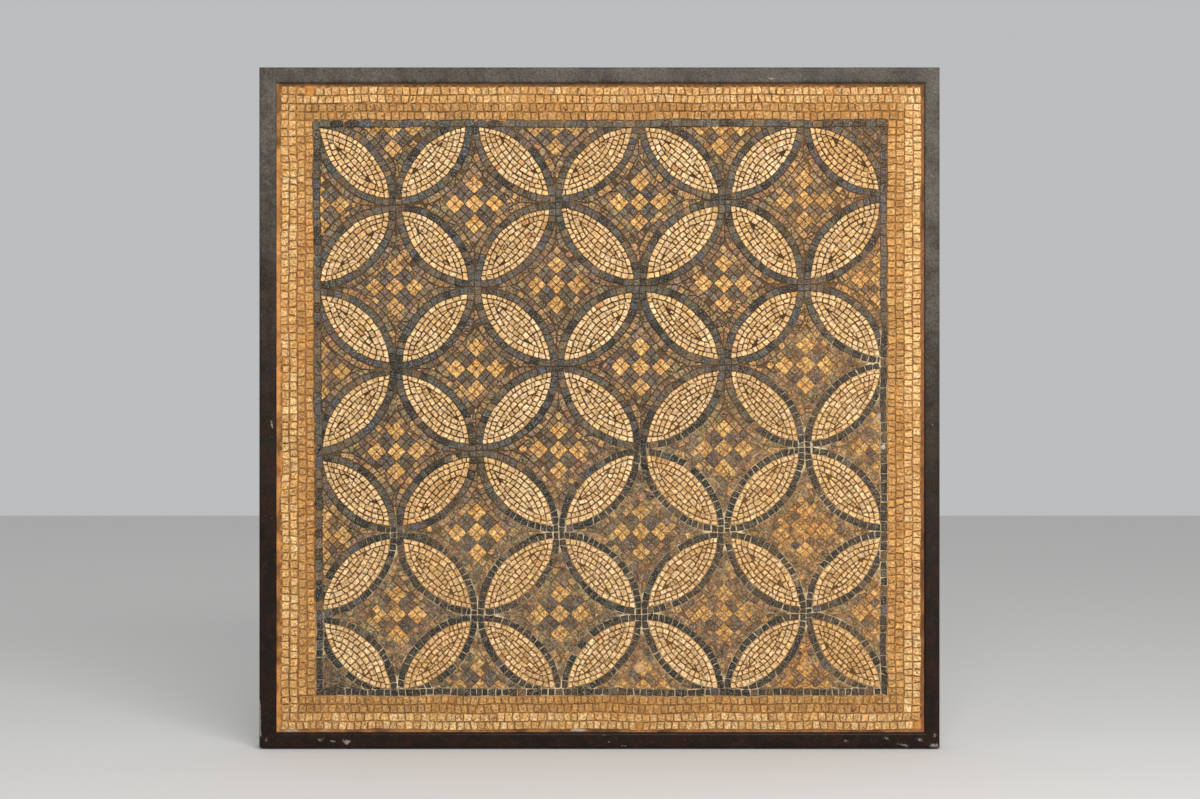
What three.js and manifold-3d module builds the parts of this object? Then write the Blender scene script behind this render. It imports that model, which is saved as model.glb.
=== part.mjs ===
// A framed wall mosaic. A square field of intersecting circles is laid in stone tesserae on a
// mortar slab, inside a plain border of four courses and a mitred frame of steel hollow section.
// Millimetres, +Z up, the mosaic faces -Y. The origin is the centre of the back, on the wall.
// Every field of stones is one solid of its own; the joints inside a field are not modelled.

import * as THREE from 'three';
import { mergeVertices } from 'three/addons/utils/BufferGeometryUtils.js';
import Module from 'manifold-3d';

const wasm = await Module();
wasm.setup();

// Frame: rectangular hollow section, 20 mm face and 40 mm deep
const panelSide = 900;
const frameFace = 20;
const frameDepth = 40;
const frameWall = 2;
const frameArris = 3;          // outer corner radius of the section
const mitreGap = 0.3;

// Levels, as distances from the wall
const bedFront = 25;           // the slab's face under the stones
const settingFront = 27;       // the setting layer that the ground stones share
const marginFront = 35.5;      // the bare mortar between border and frame
const stoneFront = 37;         // the faces of the stones, 3 mm behind the frame's

// Widths seen from the front
const bedGap = 0.3;            // between the slab and the frame
const joint = 1;               // between neighbouring fields of stones
const bandInside = 8;          // the dark course lies from here inside each circle
const bandOutside = 1.3;       // to here outside it
const borderEdge = { left: -424, right: 423.5, bottom: -425, top: 422.5 };
const borderColours = ['creamStone', 'creamStone', 'ochreStone', 'ochreStone'];

// Setting out of the circles. The cells were laid by hand, so they are not quite equal or square.
const columnX = [-375.5, -269, -164, -55, 54, 165.5, 271.5, 379.5];
const rowZ = [379, 273, 160.5, 55, -56, -164.5, -273.5, -380];
const columnLean = [-5, -3, -9, -9, -5, 0, -5, 0];      // the top of a column, against its foot
const rowFall = [-1, -13, -7, -8, -11, -2, -6, 0];      // the left end of a row, against its right
const cells = columnX.length - 1;
const arcSegments = 5;

const materials = {
  framePaint: new THREE.MeshStandardMaterial({ color: 0x4a423b, roughness: 0.42, metalness: 0.5 }),
  mortar: new THREE.MeshStandardMaterial({ color: 0xa06a35, roughness: 0.95, metalness: 0 }),
  creamStone: new THREE.MeshStandardMaterial({ color: 0xc9a26c, roughness: 0.8, metalness: 0 }),
  ochreStone: new THREE.MeshStandardMaterial({ color: 0xb5823f, roughness: 0.82, metalness: 0 }),
  petalStone: new THREE.MeshStandardMaterial({ color: 0xd9b989, roughness: 0.78, metalness: 0 }),
  darkStone: new THREE.MeshStandardMaterial({ color: 0x46464a, roughness: 0.75, metalness: 0 }),
  groundStone: new THREE.MeshStandardMaterial({ color: 0x7b6650, roughness: 0.82, metalness: 0 }),
};

const panel = new THREE.Group();

function addPiece(name, geometry, material) {
  const mesh = new THREE.Mesh(geometry, materials[material].clone());
  mesh.name = name;
  panel.add(mesh);
  return mesh;
}

// ---- Solids ----

// A flat outline, drawn as seen from the front, becomes a slab between two distances from the wall
function slab(outline, back, front, holes = []) {
  const shape = new THREE.Shape(outline);
  shape.holes = holes.map((hole) => new THREE.Path(hole));
  const geometry = new THREE.ExtrudeGeometry(shape, { depth: front - back, bevelEnabled: false });
  const position = geometry.attributes.position;
  for (let i = 0; i < position.count; i++) {
    const depth = back + position.getZ(i);
    position.setXYZ(i, position.getX(i), -depth, position.getY(i));
  }
  geometry.computeVertexNormals();
  return geometry;
}

function toManifold(geometry) {
  const bare = geometry.clone();
  bare.deleteAttribute('normal');
  bare.deleteAttribute('uv');
  const merged = mergeVertices(bare);
  return new wasm.Manifold(new wasm.Mesh({
    numProp: 3,
    vertProperties: new Float32Array(merged.attributes.position.array),
    triVerts: new Uint32Array(merged.index.array),
  }));
}

function fromManifold(solid) {
  const mesh = solid.getMesh();
  const geometry = new THREE.BufferGeometry();
  geometry.setAttribute('position', new THREE.BufferAttribute(mesh.vertProperties, 3));
  geometry.setIndex(new THREE.BufferAttribute(mesh.triVerts, 1));
  geometry.computeVertexNormals();
  return geometry;
}

// ---- Setting out ----

function latticePoint(column, row) {
  const x = columnX[column] + columnLean[column] * (0.5 - row / cells);
  const z = rowZ[row] + rowFall[row] * (0.5 - column / cells);
  return new THREE.Vector2(x, z);
}

// Each cell holds one petal, on the diagonal between its two even lattice points
function petalAxis(column, row) {
  const falling = (column + row) % 2 === 0;
  const start = falling ? latticePoint(column, row) : latticePoint(column, row + 1);
  const end = falling ? latticePoint(column + 1, row + 1) : latticePoint(column + 1, row);
  const along = end.clone().sub(start).normalize();
  return {
    middle: start.clone().add(end).multiplyScalar(0.5),
    half: start.distanceTo(end) / 2,
    along,
    across: new THREE.Vector2(-along.y, along.x),
  };
}

// The quarter circle that bounds a petal on one side (+1 or -1 across its axis)
function petalCircle(axis, side) {
  return {
    centre: axis.middle.clone().addScaledVector(axis.across, -side * axis.half),
    radius: axis.half * Math.SQRT2,
  };
}

function petalOutline(column, row, inset) {
  const axis = petalAxis(column, row);
  const points = [];
  for (const side of [1, -1]) {
    const { centre, radius } = petalCircle(axis, side);
    const reach = radius - inset;
    const halfAngle = Math.acos(axis.half / reach);
    for (let i = 0; i < arcSegments; i++) {
      const angle = side * halfAngle * (2 * i / arcSegments - 1);
      points.push(centre.clone()
        .addScaledVector(axis.across, side * reach * Math.cos(angle))
        .addScaledVector(axis.along, reach * Math.sin(angle)));
    }
  }
  return points;
}

function nearest(candidates, target) {
  return candidates.sort((a, b) => a.distanceTo(target) - b.distanceTo(target))[0];
}

function circleMeetsCircle(a, b, target) {
  const between = b.centre.clone().sub(a.centre);
  const distance = between.length();
  const reach = (distance ** 2 + a.radius ** 2 - b.radius ** 2) / (2 * distance);
  const offset = Math.sqrt(a.radius ** 2 - reach ** 2);
  between.normalize();
  const foot = a.centre.clone().addScaledVector(between, reach);
  const sideways = new THREE.Vector2(-between.y, between.x);
  return nearest([1, -1].map((s) => foot.clone().addScaledVector(sideways, s * offset)), target);
}

function circleMeetsLine(circle, line, target) {
  const toCentre = circle.centre.clone().sub(line.point);
  const foot = line.point.clone().addScaledVector(line.along, toCentre.dot(line.along));
  const offset = Math.sqrt(circle.radius ** 2 - foot.distanceToSquared(circle.centre));
  return nearest([1, -1].map((s) => foot.clone().addScaledVector(line.along, s * offset)), target);
}

function lineMeetsLine(a, b) {
  const between = b.point.clone().sub(a.point);
  const reach = between.cross(b.along) / a.along.cross(b.along);
  return a.point.clone().addScaledVector(a.along, reach);
}

function arcPoints(circle, from, to) {
  const startAngle = from.clone().sub(circle.centre).angle();
  const turn = to.clone().sub(circle.centre).angle() - startAngle;
  const shortTurn = Math.atan2(Math.sin(turn), Math.cos(turn));
  const points = [];
  for (let i = 0; i < arcSegments; i++) {
    const angle = startAngle + shortTurn * i / arcSegments;
    const spoke = new THREE.Vector2(Math.cos(angle), Math.sin(angle));
    points.push(circle.centre.clone().addScaledVector(spoke, circle.radius));
  }
  return points;
}

// The ground round an odd lattice point: a diamond with four hollow sides, cut by the field's edge
function diamondOutline(column, row, outset) {
  const centre = latticePoint(column, row);
  const quarters = [[0, -1], [-1, -1], [-1, 0], [0, 0]];       // NE, NW, SW, SE
  const headings = [[0, -1], [-1, 0], [0, 1], [1, 0]];         // N, W, S, E, after each quarter
  const circles = quarters.map(([c, r]) => {
    const inside = column + c >= 0 && column + c < cells && row + r >= 0 && row + r < cells;
    if (!inside) return null;
    const axis = petalAxis(column + c, row + r);
    const side = centre.clone().sub(axis.middle).dot(axis.across) > 0 ? 1 : -1;
    const circle = petalCircle(axis, side);
    return { centre: circle.centre, radius: circle.radius + outset, middle: axis.middle };
  });
  const edges = [];
  const corners = headings.map(([c, r], i) => {
    const before = circles[i];
    const after = circles[(i + 1) % 4];
    if (before && after) return circleMeetsCircle(before, after, centre);
    const circle = before || after;
    if (!circle) return null;
    const tip = latticePoint(column + c, row + r);
    const along = tip.sub(centre).normalize();
    const inwards = new THREE.Vector2(-along.y, along.x);
    if (inwards.dot(circle.middle.clone().sub(centre)) < 0) inwards.negate();
    const edge = { point: centre.clone().addScaledVector(inwards, bandInside + outset - bandOutside), along };
    edges.push(edge);
    return circleMeetsLine(circle, edge, centre);
  });
  const points = [];
  circles.forEach((circle, i) => {
    if (!circle) return;
    const from = corners[(i + 3) % 4];
    const to = corners[i];
    points.push(...arcPoints(circle, from, to));
    if (!circles[(i + 1) % 4]) points.push(to);
  });
  if (circles.filter(Boolean).length === 1) points.push(lineMeetsLine(edges[0], edges[1]));
  return points;
}

// The four corners of the field, moved outwards, counter-clockwise from bottom left
function fieldCorners(outset) {
  return [[0, cells, -1, -1], [cells, cells, 1, -1], [cells, 0, 1, 1], [0, 0, -1, 1]].map(
    ([column, row, x, z]) => latticePoint(column, row).add(new THREE.Vector2(x, z).multiplyScalar(outset)),
  );
}

function borderCorners(outset) {
  const left = borderEdge.left - outset;
  const right = borderEdge.right + outset;
  const bottom = borderEdge.bottom - outset;
  const top = borderEdge.top + outset;
  return [[left, bottom], [right, bottom], [right, top], [left, top]].map(([x, z]) => new THREE.Vector2(x, z));
}

function squareCorners(half) {
  return [[-half, -half], [half, -half], [half, half], [-half, half]].map(([x, z]) => new THREE.Vector2(x, z));
}

function oddPoints() {
  const found = [];
  for (let row = 0; row <= cells; row++) {
    for (let column = 0; column <= cells; column++) {
      if ((column + row) % 2 === 1) found.push([column, row]);
    }
  }
  return found;
}

// ---- Frame ----

function roundedRectangle(path, left, right, low, high, radius) {
  path.moveTo(left + radius, low);
  path.absarc(right - radius, low + radius, radius, -Math.PI / 2, 0, false);
  path.absarc(right - radius, high - radius, radius, 0, Math.PI / 2, false);
  path.absarc(left + radius, high - radius, radius, Math.PI / 2, Math.PI, false);
  path.absarc(left + radius, low + radius, radius, Math.PI, Math.PI * 1.5, false);
  return path;
}

// The top rail; its ends follow the mitre, where the distance along equals the height
function railGeometry() {
  const outer = panelSide / 2;
  const inner = outer - frameFace;
  const section = roundedRectangle(new THREE.Shape(), inner, outer, 0, frameDepth, frameArris);
  const bore = roundedRectangle(new THREE.Path(), inner + frameWall, outer - frameWall,
    frameWall, frameDepth - frameWall, frameArris - frameWall);
  section.holes.push(bore);
  const geometry = new THREE.ExtrudeGeometry(section, { depth: 1, bevelEnabled: false, curveSegments: 3 });
  const position = geometry.attributes.position;
  for (let i = 0; i < position.count; i++) {
    const height = position.getX(i);
    const end = position.getZ(i) > 0.5 ? 1 : -1;
    position.setXYZ(i, end * (height - mitreGap), -position.getY(i), height);
  }
  geometry.computeVertexNormals();
  return geometry;
}

function addFrame() {
  ['top', 'right', 'bottom', 'left'].forEach((side, i) => {
    const rail = addPiece(`frame_${side}`, railGeometry(), 'framePaint');
    rail.rotation.y = i * Math.PI / 2;
  });
}

// ---- Mortar and stones ----

function addMortarBed() {
  const whole = slab(squareCorners(panelSide / 2 - frameFace - bedGap), 0, marginFront);
  const recess = slab(borderCorners(joint), bedFront, marginFront + 1);
  addPiece('mortar_bed', fromManifold(toManifold(whole).subtract(toManifold(recess))), 'mortar');
}

// Four courses fill the space from the border's outer edge to the field, outermost first
function addBorder() {
  const outer = borderCorners(0);
  const inner = fieldCorners(bandOutside);
  const count = borderColours.length;
  borderColours.forEach((colour, i) => {
    const at = (share) => outer.map((corner, k) => corner.clone().lerp(inner[k], share));
    const outside = at(i / count);
    const width = outside[0].distanceTo(at((i + 1) / count)[0]);
    const inside = at((i + 1 - joint * Math.SQRT2 / width) / count);
    addPiece(`border_course_${i + 1}`, slab(outside, bedFront, stoneFront, [inside]), colour);
  });
}

function addOutlines() {
  const holes = oddPoints().map(([column, row]) => diamondOutline(column, row, bandOutside));
  for (let row = 0; row < cells; row++) {
    for (let column = 0; column < cells; column++) {
      holes.push(petalOutline(column, row, bandInside - joint));
    }
  }
  addPiece('circle_outlines', slab(fieldCorners(bandOutside), settingFront, stoneFront, holes), 'darkStone');
}

function addGround() {
  let ground = toManifold(slab(fieldCorners(bandOutside), bedFront, settingFront));
  const embedded = (bedFront + settingFront) / 2;
  for (const [column, row] of oddPoints()) {
    const island = slab(diamondOutline(column, row, bandOutside + joint), embedded, stoneFront);
    ground = ground.add(toManifold(island));
  }
  addPiece('diamond_ground', fromManifold(ground), 'groundStone');
}

function addPetals() {
  for (let row = 0; row < cells; row++) {
    for (let column = 0; column < cells; column++) {
      const outline = petalOutline(column, row, bandInside);
      addPiece(`petal_r${row + 1}_c${column + 1}`, slab(outline, settingFront, stoneFront), 'petalStone');
    }
  }
}

addFrame();
addMortarBed();
addBorder();
addOutlines();
addGround();
addPetals();

export default panel;
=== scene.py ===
# A framed wall mosaic. Intersecting circles are laid in cut stone on a mortar bed, inside a
# border of four courses and a painted steel frame. Every stone is a closed solid of its own.
# Outlines are worked out in millimetres as seen from the front, where x runs right and y up.

import math
import random
import bpy
from mathutils import Matrix, Vector, kdtree, noise


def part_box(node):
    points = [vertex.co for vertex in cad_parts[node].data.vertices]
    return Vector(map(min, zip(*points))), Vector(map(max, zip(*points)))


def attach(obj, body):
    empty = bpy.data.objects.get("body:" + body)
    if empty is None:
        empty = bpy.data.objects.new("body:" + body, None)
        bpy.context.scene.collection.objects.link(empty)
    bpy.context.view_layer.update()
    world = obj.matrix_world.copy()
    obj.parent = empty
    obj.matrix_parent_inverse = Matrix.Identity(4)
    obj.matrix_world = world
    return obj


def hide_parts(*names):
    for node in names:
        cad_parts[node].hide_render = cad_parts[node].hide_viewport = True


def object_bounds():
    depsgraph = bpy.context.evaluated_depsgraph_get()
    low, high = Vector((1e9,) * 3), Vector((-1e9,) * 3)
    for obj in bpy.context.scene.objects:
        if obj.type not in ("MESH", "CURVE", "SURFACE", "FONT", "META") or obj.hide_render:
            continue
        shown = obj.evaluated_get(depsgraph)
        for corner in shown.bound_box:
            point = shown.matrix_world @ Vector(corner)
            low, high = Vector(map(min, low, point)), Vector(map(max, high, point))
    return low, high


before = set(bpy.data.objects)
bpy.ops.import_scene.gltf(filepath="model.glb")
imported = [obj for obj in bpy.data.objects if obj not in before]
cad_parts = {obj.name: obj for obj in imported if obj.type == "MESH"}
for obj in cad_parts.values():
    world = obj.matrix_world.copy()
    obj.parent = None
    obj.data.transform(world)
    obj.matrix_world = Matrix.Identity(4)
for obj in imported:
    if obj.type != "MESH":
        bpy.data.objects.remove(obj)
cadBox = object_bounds()
print("frame loaded:", len(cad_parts), "nodes")

mm = 0.001
scene = bpy.context.scene


def sRgb(red, green, blue):
    # a colour given as a screen shows it, in linear light
    def linear(level):
        share = level / 255
        return share / 12.92 if share <= 0.04045 else ((share + 0.055) / 1.055) ** 2.4
    return Vector((linear(red), linear(green), linear(blue)))


def smooth(share):
    share = max(0.0, min(1.0, share))
    return share * share * (3 - 2 * share)


def drift(point, size, seed=0.0):
    # a slow random swing between about -1 and 1
    return noise.noise(Vector((point.x / size, point.y / size, seed + 0.5))) * 1.6


def pickOnly(piece):
    bpy.ops.object.select_all(action="DESELECT")
    piece.select_set(True)
    bpy.context.view_layer.objects.active = piece


def applyModifiers(piece):
    pickOnly(piece)
    for modifier in list(piece.modifiers):
        bpy.ops.object.modifier_apply(modifier=modifier.name)


def pickParts(piece, kind, wanted):
    # edit mode, with the wanted faces or edges picked and nothing else
    bpy.ops.object.mode_set(mode="OBJECT")
    mesh = piece.data
    for parts in (mesh.vertices, mesh.edges, mesh.polygons):
        parts.foreach_set("select", [False] * len(parts))
    for part in mesh.polygons if kind == "FACE" else mesh.edges:
        part.select = wanted(part)
    bpy.ops.object.mode_set(mode="EDIT")
    bpy.ops.mesh.select_mode(type=kind)


def giveLevels(mesh, name, levels):
    mesh.attributes.new(name, "FLOAT", "POINT").data.foreach_set("value", levels)


def finishPiece(piece, material, replaced):
    piece.data.materials.clear()
    piece.data.materials.append(material)
    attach(piece, "root")
    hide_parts(*replaced)


def feed(tree, socket, value):
    if isinstance(value, bpy.types.NodeSocket):
        tree.links.new(value, socket)
    else:
        socket.default_value = (*value, 1) if isinstance(value, Vector) else value


def calc(tree, operation, *values, clamp=False):
    made = tree.nodes.new("ShaderNodeMath")
    made.operation = operation
    made.use_clamp = clamp
    for socket, value in zip(made.inputs, values):
        feed(tree, socket, value)
    return made.outputs[0]


def remap(tree, value, low, high, toLow=0.0, toHigh=1.0):
    made = tree.nodes.new("ShaderNodeMapRange")
    given = {"Value": value, "From Min": low, "From Max": high, "To Min": toLow, "To Max": toHigh}
    for name, level in given.items():
        feed(tree, made.inputs[name], level)
    return made.outputs["Result"]


def blend(tree, share, a, b, how="MIX"):
    made = tree.nodes.new("ShaderNodeMix")
    made.data_type = "RGBA"
    made.blend_type = how
    sockets = (made.inputs[0], made.inputs[6], made.inputs[7])      # the factor and the two colours
    for socket, value in zip(sockets, (share, a, b)):
        feed(tree, socket, value)
    return made.outputs[2]


def scaleColour(tree, colour, gain):
    made = tree.nodes.new("ShaderNodeVectorMath")
    made.operation = "SCALE"
    feed(tree, made.inputs[0], colour)
    feed(tree, made.inputs["Scale"], gain)
    return made.outputs[0]


def grain(tree, place, scale, detail=2.0, roughness=0.5):
    made = tree.nodes.new("ShaderNodeTexNoise")
    given = {"Vector": place, "Scale": scale, "Detail": detail, "Roughness": roughness}
    for name, value in given.items():
        feed(tree, made.inputs[name], value)
    return made.outputs["Fac"]


def objectPlace(tree):
    return tree.nodes.new("ShaderNodeTexCoord").outputs["Object"]


def readAttribute(tree, name):
    made = tree.nodes.new("ShaderNodeAttribute")
    made.attribute_name = name
    return made


def startGroup(name, inputs, outputs=("Color", "Roughness", "Height")):
    group = bpy.data.node_groups.new(name, "ShaderNodeTree")
    for title, start in inputs.items():
        kind = "NodeSocketColor" if isinstance(start, tuple) else "NodeSocketFloat"
        group.interface.new_socket(title, in_out="INPUT", socket_type=kind).default_value = start
    for title in outputs:
        kind = "NodeSocketColor" if title == "Color" else "NodeSocketFloat"
        group.interface.new_socket(title, in_out="OUTPUT", socket_type=kind)
    return group, group.nodes.new("NodeGroupInput").outputs, group.nodes.new("NodeGroupOutput").inputs


def placeGroup(tree, group, values):
    made = tree.nodes.new("ShaderNodeGroup")
    made.node_tree = group
    for title, value in values.items():
        feed(tree, made.inputs[title], value)
    return made.outputs


def newMaterial(name, group, values, bumpDistance, specular=0.3):
    # a material whose colour, roughness and height all come out of one group
    material = bpy.data.materials.new(name)
    material.use_nodes = True
    tree = material.node_tree
    surface = tree.nodes["Principled BSDF"]
    made = placeGroup(tree, group, values)
    bump = tree.nodes.new("ShaderNodeBump")
    bump.inputs["Strength"].default_value = 0.6
    bump.inputs["Distance"].default_value = bumpDistance
    feed(tree, bump.inputs["Height"], made["Height"])
    feed(tree, surface.inputs["Base Color"], made["Color"])
    feed(tree, surface.inputs["Roughness"], made["Roughness"])
    feed(tree, surface.inputs["Normal"], bump.outputs["Normal"])
    surface.inputs["Specular IOR Level"].default_value = specular
    return material


# the circles are set out on the lattice that the frame's petals give
setting = {
    "cells": 7,
    "bandInside": 8.0,      # the dark course lies from here inside each circle
    "bandOutside": 1.3,     # to here outside it
}
cells = range(setting["cells"])
crossings = range(setting["cells"] + 1)


def nodePlan(name):
    return [Vector((v.co.x, v.co.z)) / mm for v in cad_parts[name].data.vertices]


def nodeDepth(name):
    low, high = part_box(name)
    return -low.y / mm, -high.y / mm


def findCell(column, row):
    # a petal lies on the diagonal between its cell's two even crossings
    falling = (column + row) % 2 == 0
    slope = -1 if falling else 1
    points = nodePlan(f"petal_r{row + 1}_c{column + 1}")
    start = min(points, key=lambda p: p.x + slope * p.y)
    end = max(points, key=lambda p: p.x + slope * p.y)
    along = (end - start).normalized()
    inside = setting["bandInside"]
    half = math.sqrt(2) * inside + math.hypot(inside, (end - start).length / 2)
    first = (column, row) if falling else (column, row + 1)
    last = (column + 1, row + 1) if falling else (column + 1, row)
    return {
        "middle": (start + end) / 2,
        "along": along,
        "across": Vector((-along.y, along.x)),
        "half": half,
        "ends": (first, last),
    }


grid = {(column, row): findCell(column, row) for row in cells for column in cells}


def meanOf(points):
    return sum(points, Vector((0, 0))) / len(points)


def boxOf(points):
    low = Vector((min(p.x for p in points), min(p.y for p in points)))
    return low, Vector((max(p.x for p in points), max(p.y for p in points)))


def findLattice():
    found = {}
    for cell in grid.values():
        for sign, end in zip((-1, 1), cell["ends"]):
            found.setdefault(end, []).append(cell["middle"] + sign * cell["half"] * cell["along"])
    points = {key: meanOf(places) for key, places in found.items()}
    odd = {}
    for row in crossings:
        for column in crossings:
            if (column + row) % 2 == 0:
                continue
            beside = [points[c, row] for c in (column - 1, column + 1) if (c, row) in points]
            above = [points[column, r] for r in (row - 1, row + 1) if (column, r) in points]
            if len(beside) == len(above) == 1:
                odd[column, row] = Vector((above[0].x, beside[0].y))
            else:
                pairs = [pair for pair in (beside, above) if len(pair) == 2]
                odd[column, row] = meanOf(sum(pairs, []))
    return points | odd


lattice = findLattice()
stoneFace, stoneBack = nodeDepth("petal_r1_c1")
marginFace = nodeDepth("mortar_bed")[0]
planLow, planHigh = boxOf(nodePlan("border_course_1"))
# how far the outermost stones straggle past the frame's own border
borderReach = {"left": -2.6, "right": 1.8, "top": 2.2, "bottom": 1.6}
borderLow = Vector((planLow.x - borderReach["left"], planLow.y - borderReach["bottom"]))
borderHigh = Vector((planHigh.x + borderReach["right"], planHigh.y + borderReach["top"]))


def crossingAt(column, row):
    # a place given in columns and rows, whole or not
    c, r = min(int(column), setting["cells"] - 1), min(int(row), setting["cells"] - 1)
    top = lattice[c, r].lerp(lattice[c + 1, r], column - c)
    return top.lerp(lattice[c, r + 1].lerp(lattice[c + 1, r + 1], column - c), row - r)


def petalCircle(cell, side):
    centre = cell["middle"] - side * cell["half"] * cell["across"]
    return centre, cell["half"] * math.sqrt(2)


def headingOf(way):
    return math.atan2(way.y, way.x)


def cellEdges(column, row):
    # the four sides of a cell as a point and an inward direction
    nw, ne = lattice[column, row], lattice[column + 1, row]
    sw, se = lattice[column, row + 1], lattice[column + 1, row + 1]
    sides = {}
    for name, a, b in (("west", nw, sw), ("south", sw, se), ("east", se, ne), ("north", ne, nw)):
        along = (b - a).normalized()
        sides[name] = (a, Vector((-along.y, along.x)))
    return sides


def onFieldEdge(column, row, side):
    last = setting["cells"] - 1
    return {"west": column == 0, "east": column == last, "north": row == 0, "south": row == last}[side]


def fieldLimits(column, row):
    # a cell's own four sides; the field's outer sides are moved in by the line laid along them
    limits = []
    for side, (point, inward) in cellEdges(column, row).items():
        step = setting["bandInside"] if onFieldEdge(column, row, side) else 0
        limits.append(("line", point + inward * step, inward))
    return limits


# how every stone is cut
cutting = {
    "skew": 0.05,                # how far a side turns from true, in radians
    "jointUneven": (0.5, 1.6),   # a joint's width, against the one asked for
    "shortest": 0.8,             # shorter sides aren't dressed
    "cornerCut": (0.05, 0.7),
    "offMiddle": 1.2,            # how far from its middle a stone is cut in two
    "smallest": 11.0,            # offcuts with less area than this are left out
    "thinnest": 2.3,
    "chamfer": 0.4,
    "chamferWide": 0.4,
    "crown": 0.12,
    "crownWide": 0.75,
    "mapShare": 0.8,             # of its square on the bake map that a face takes up
    "mapSwell": 1.18,            # how far its sides reach round it there
    "tilt": 0.022,
    "lift": 0.28,                # how unevenly the faces stand
    "lowest": -0.25,
    "highest": 1.2,
    "bedded": 2.0,               # how much shorter a stone is than the frame's solids
    "jointLean": 0.05,
    "sway": (1.9, 42.0),         # how far the courses wander, and over what length
    "flutter": (0.75, 10.0),
}


def sidesOf(outline):
    return list(zip(outline, outline[1:] + outline[:1]))


def clip(outline, point, inward):
    kept = []
    for a, b in sidesOf(outline):
        depthA, depthB = (a - point).dot(inward), (b - point).dot(inward)
        if depthA >= 0:
            kept.append(a)
        if (depthA >= 0) != (depthB >= 0):
            kept.append(a.lerp(b, depthA / (depthA - depthB)))
    return kept


def areaOf(outline):
    return sum(a.cross(b) for a, b in sidesOf(outline)) / 2


def facing(outline):
    return outline if areaOf(outline) > 0 else outline[::-1]


def inwardOf(a, b):
    return Vector((a.y - b.y, b.x - a.x)).normalized()


def narrowest(outline):
    widths = []
    for a, b in sidesOf(outline):
        if (b - a).length > 0.5:
            inward = inwardOf(a, b)
            widths.append(max((p - a).dot(inward) for p in outline))
    return min(widths, default=0)


def trim(outline, limits):
    # a limit is a line (point, inward), or a circle (centre, radius) to stay inside or outside of
    for kind, place, value in limits:
        if len(outline) < 3:
            return []
        if kind == "line":
            outline = clip(outline, place, value)
            continue
        away = (meanOf(outline) - place).normalized()
        sign = 1 if kind == "outside" else -1
        outline = clip(outline, place + away * value, away * sign)
    return outline


def tidyOutline(outline, closest=0.35):
    kept = []
    for point in outline:
        if not kept or (point - kept[-1]).length > closest:
            kept.append(point)
    while len(kept) > 2 and (kept[0] - kept[-1]).length <= closest:
        kept.pop()
    return kept


def wander(point):
    # the whole mosaic was laid by hand, so its courses wander together
    moved = point.copy()
    for amount, length in (cutting["sway"], cutting["flutter"]):
        for axis in (0, 1):
            place = Vector((point.x / length, point.y / length, length + 17 * axis + 0.5))
            moved[axis] += noise.noise(place) * amount
    return moved


def hew(outline, joint, dice, skew=1.0):
    # cuts the stone that fits its space: sides a little off true, corners knocked off
    outline = tidyOutline([wander(point) for point in outline])
    if len(outline) < 3 or areaOf(outline) < cutting["smallest"]:
        return None
    for a, b in sidesOf(outline):
        if (b - a).length < cutting["shortest"]:
            continue
        inward = inwardOf(a, b)
        inward.rotate(Matrix.Rotation(dice.gauss(0, cutting["skew"] * skew), 2))
        gap = inward * joint / 2 * dice.uniform(*cutting["jointUneven"])
        outline = clip(outline, (a + b) / 2 + gap, inward)
        if len(outline) < 3:
            return None
    middle = meanOf(outline)
    for corner in list(outline):
        inward = (middle - corner).normalized()
        outline = clip(outline, corner + inward * dice.uniform(*cutting["cornerCut"]), inward)
    outline = tidyOutline(outline)
    if len(outline) < 3 or narrowest(outline) < cutting["thinnest"]:
        return None
    return outline


def halve(outline, dice):
    middle = meanOf(outline)
    inward = Vector((1, 0))
    inward.rotate(Matrix.Rotation(dice.uniform(0, math.pi), 2))
    middle += inward * dice.uniform(-cutting["offMiddle"], cutting["offMiddle"])
    return [clip(outline, middle, inward), clip(outline, middle, -inward)]


def spread(length, size, dice, unevenness):
    # shares of a length at which stones of about one size meet
    count = max(1, round(length / size))
    widths = [dice.uniform(1 - unevenness, 1 + unevenness) for _ in range(count)]
    shares = [0.0]
    for width in widths:
        shares.append(shares[-1] + width / sum(widths))
    return shares


def arcCourse(centre, inner, outer, start, end, size, dice, unevenness=0.25):
    # the spaces of one course between two radii, from one heading to another
    radius = (inner + outer) / 2
    joints = []
    for share in spread(abs(end - start) * radius, size, dice, unevenness):
        angle = start + (end - start) * share
        lean = dice.gauss(0, cutting["jointLean"]) * (outer - inner) / radius
        joints.append((angle - lean, angle + lean))
    spaces = []
    for (a, b), (c, d) in zip(joints, joints[1:]):
        corners = ((a, inner), (b, outer), (d, outer), (c, inner))
        spaces.append(facing([centre + Vector((math.cos(t), math.sin(t))) * r for t, r in corners]))
    return spaces


def straightCourse(start, end, width, size, dice, unevenness=0.25):
    # the spaces of a straight course; its width lies to the left of the way it runs
    along = (end - start).normalized()
    left = Vector((-along.y, along.x)) * width
    joints = []
    for share in spread((end - start).length, size, dice, unevenness):
        lean = along * dice.gauss(0, cutting["jointLean"]) * width
        at = start.lerp(end, share)
        joints.append((at - lean, at + left + lean))
    return [facing([a, c, d, b]) for (a, b), (c, d) in zip(joints, joints[1:])]


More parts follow.
